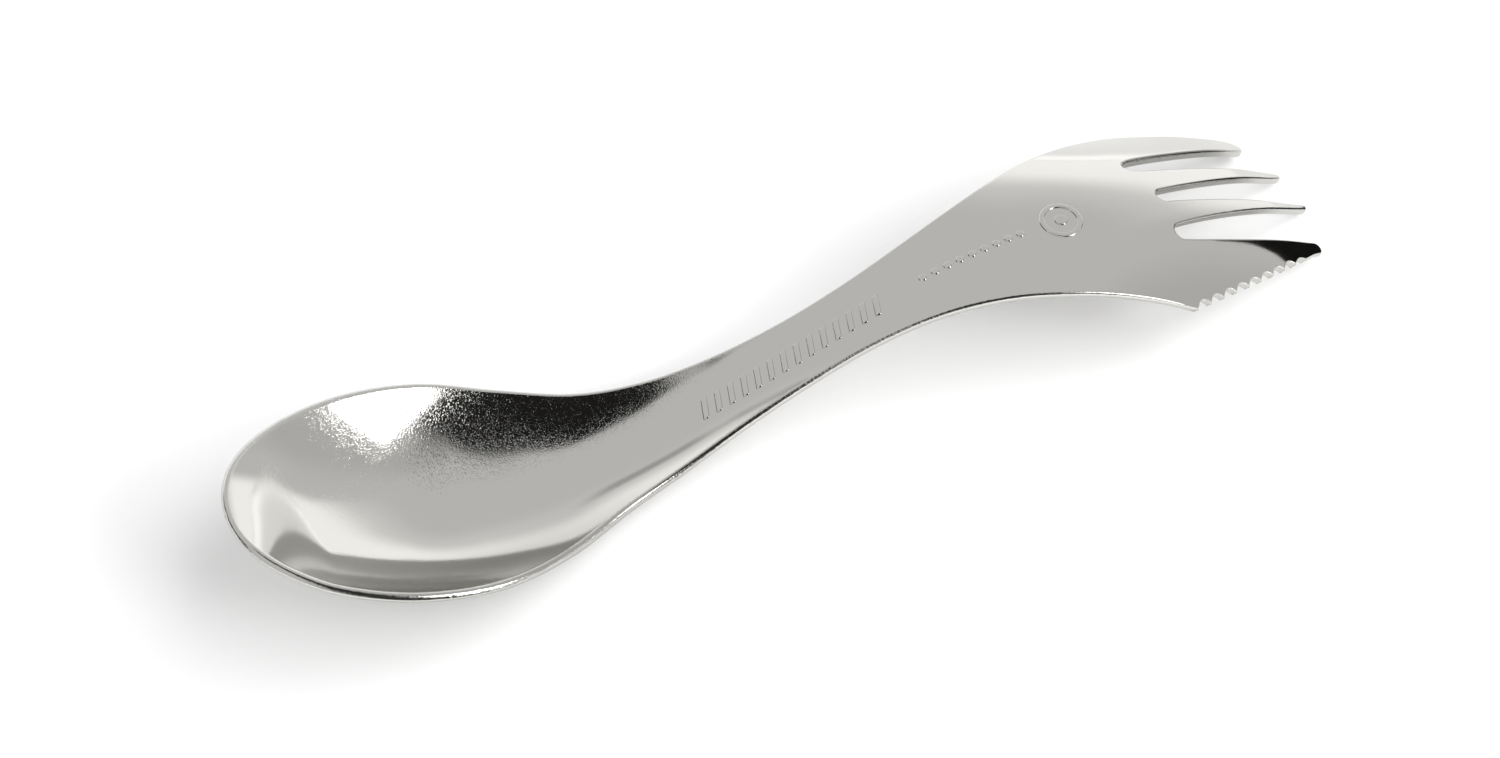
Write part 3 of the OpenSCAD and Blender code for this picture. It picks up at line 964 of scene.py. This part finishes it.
# the room that the steel mirrors, by degrees round and up; a band has four of them, two to fade in
# over and two to fade out over
room = {
    "ceiling": 0.82,
    "shade": 0.12,          # a little less light on the camera's side
    "shadeFrom": (5, -20),
    "shadeTo": (-80, -60),
    "backdropRound": (14, 23, 116, 128),
    "backdrop": 0.49,       # how much brighter than the ceiling it is, low down
    "backdropUp": (27, 12),
    "backdropTop": 0.21,    # and up to where it meets the ceiling
    "backdropTopUp": (44, 20),
    "strip": 0.4,           # a dim strip across the backdrop
    "stripRound": (80, 87, 99, 106),
    "stripUp": (26.5, 29.5, 33, 36),
    "below": 1.7,           # from under the floor's level
    "belowZ": (-0.03, 0.0),
    "dark": 0.016,
    # the dark part is where these three overlap: the way each one faces, and its soft edge
    "darkSides": [((0.549, -0.836, 0.186), (-0.03, 0.03)),
                  ((-0.9, -0.43, 0.255), (-0.03, 0.03)),
                  ((0.95, 0.0, 0.3), (-0.03, 0.02))],
    "wingRound": (125, 135),    # and a low dark wing beyond the backdrop
    "wingUp": (32, 24),
}
view = {
    "place": (-0.072892, -0.131800, 0.209859),
    "azimuth": -115.0519,
    "rise": 54.3436,
    "roll": -0.2219,
    "lens": 41.563,
    "sensor": 36.0,
}


def towards(azimuth, rise):
    azimuth, rise = math.radians(azimuth), math.radians(rise)
    level = math.cos(rise)
    return Vector((math.cos(azimuth) * level, math.sin(azimuth) * level, math.sin(rise)))


def makeFloor():
    half = studio["floorSize"] / 2
    corners = [(-half, -half, 0), (half, -half, 0), (half, half, 0), (-half, half, 0)]
    mesh = bpy.data.meshes.new("floor")
    mesh.from_pydata(corners, [], [(0, 1, 2, 3)])
    material = bpy.data.materials.new("paper_floor")
    start = shaderOf(material)
    seen = start.make("ShaderNodeLightPath", out="Is Camera Ray")
    mirrored = start.make("ShaderNodeLightPath", out="Is Glossy Ray")
    x, y = start.make("ShaderNodeTexCoord", out="Object").parts()[:2]
    beside = (-y).ease(*studio["nearGlowY"]) + y.ease(*studio["farGlowY"])
    line = studio["glowLine"]
    past = ((x - line["x"]) * line["slope"] - y).ease(*line["fade"]) * y.ease(*line["fadeY"])
    beside = beside * (1 - past)
    pale = studio["floorGlow"] + (x * x + y * y).sum("SQRT").ease(*studio["paleFrom"])
    strength = seen * pale + mirrored * beside * studio["mirrorGlow"]
    white = studio["floorWhite"]
    paper = start.make("ShaderNodeBsdfDiffuse", None, {"Color": (white, white, white, 1.0)})
    glow = start.make("ShaderNodeEmission", None, {"Strength": strength})
    both = start.make("ShaderNodeAddShader", None, {0: paper, 1: glow})
    both.endAt("ShaderNodeOutputMaterial")
    mesh.materials.append(material)
    addObject("floor", mesh)


def makeLamp(name, settings, mirrored):
    width, height, azimuth, rise, distance, power = settings
    way = towards(azimuth, rise)
    data = bpy.data.lights.new(name, "AREA")
    data.shape = "RECTANGLE"
    data.size = width
    data.size_y = height
    data.energy = power
    lamp = addObject(name, data)
    lamp.location = way * distance
    lamp.rotation_euler = way.to_track_quat("Z", "Y").to_euler()
    lamp.visible_camera = False
    lamp.visible_glossy = mirrored


def makeFlag():
    # small black card off the fork's end, which only the steel sees
    mesh = bpy.data.meshes.new("black_flag")
    outline = [(flag["x"], y, z) for y, z in flag["outline"]]
    mesh.from_pydata(outline, [], [range(len(outline))])
    material = bpy.data.materials.new("black_felt")
    start = shaderOf(material)
    black = flag["black"]
    felt = start.make("ShaderNodeBsdfDiffuse", None, {"Color": (black, black, black, 1.0)})
    clear = start.make("ShaderNodeBsdfTransparent")
    far = start.make("ShaderNodeLightPath", out="Ray Length").ease(*flag["seenWithin"])
    both = start.make("ShaderNodeMixShader", None, {0: far, 1: felt, 2: clear})
    both.endAt("ShaderNodeOutputMaterial")
    mesh.materials.append(material)
    card = addObject("black_flag", mesh)
    card.visible_camera = False
    card.visible_diffuse = False
    card.visible_shadow = False


def makeRoom():
    world = bpy.data.worlds.new("studio_room")
    bpy.context.scene.world = world
    start = shaderOf(world)
    x, y, z = start.make("ShaderNodeTexCoord", out="Generated").vector("NORMALIZE").parts()
    azimuth = y.sum("ARCTAN2", x) * math.degrees(1)
    rise = z.sum("ARCSINE") * math.degrees(1)
    shade = azimuth.ease(*room["shadeFrom"]) * azimuth.ease(*room["shadeTo"])
    backdrop = rise.ease(*room["backdropUp"]) * room["backdrop"]
    backdrop = backdrop + rise.ease(*room["backdropTopUp"]) * room["backdropTop"]
    strip = azimuth.band(*room["stripRound"]) * rise.band(*room["stripUp"])
    level = room["ceiling"] - shade * room["shade"]
    level = level + azimuth.band(*room["backdropRound"]) * backdrop - strip * room["strip"]
    sides = [(x * facing[0] + y * facing[1] + z * facing[2]).ease(*edge)
             for facing, edge in room["darkSides"]]
    wing = azimuth.ease(*room["wingRound"]) * rise.ease(*room["wingUp"])
    dark = (sides[0] * sides[1] * sides[2]).sum("MAXIMUM", wing)
    level = level * (1 - dark) + dark * room["dark"]
    below = z.ease(*room["belowZ"], 1.0, 0.0)
    level = level * (1 - below) + below * room["below"]
    seen = start.make("ShaderNodeLightPath", out="Is Camera Ray")
    strength = level * (1 - seen) + seen    # plain white to the camera
    values = {"Color": (1.0, 1.0, 1.0, 1.0), "Strength": strength}
    start.make("ShaderNodeBackground", None, values).endAt("ShaderNodeOutputWorld")


def makeCamera():
    data = bpy.data.cameras.new("camera")
    data.sensor_fit = "HORIZONTAL"
    data.sensor_width = view["sensor"]
    data.lens = view["lens"]
    data.clip_start = 0.01
    camera = addObject("camera", data)
    turn = towards(view["azimuth"], view["rise"]).to_track_quat("Z", "Y").to_matrix().to_4x4()
    turn = turn @ Matrix.Rotation(math.radians(view["roll"]), 4, "Z")
    camera.matrix_world = Matrix.Translation(view["place"]) @ turn
    bpy.context.scene.camera = camera


makeFloor()
makeLamp("soft_box", studio["softBox"], True)
makeLamp("side_silk", studio["sideSilk"], False)
makeLamp("near_silk", studio["nearSilk"], False)
makeFlag()
makeRoom()
makeCamera()
bpy.context.scene.view_settings.view_transform = "Standard"
print("studio is set")

bpy.context.view_layer.update()
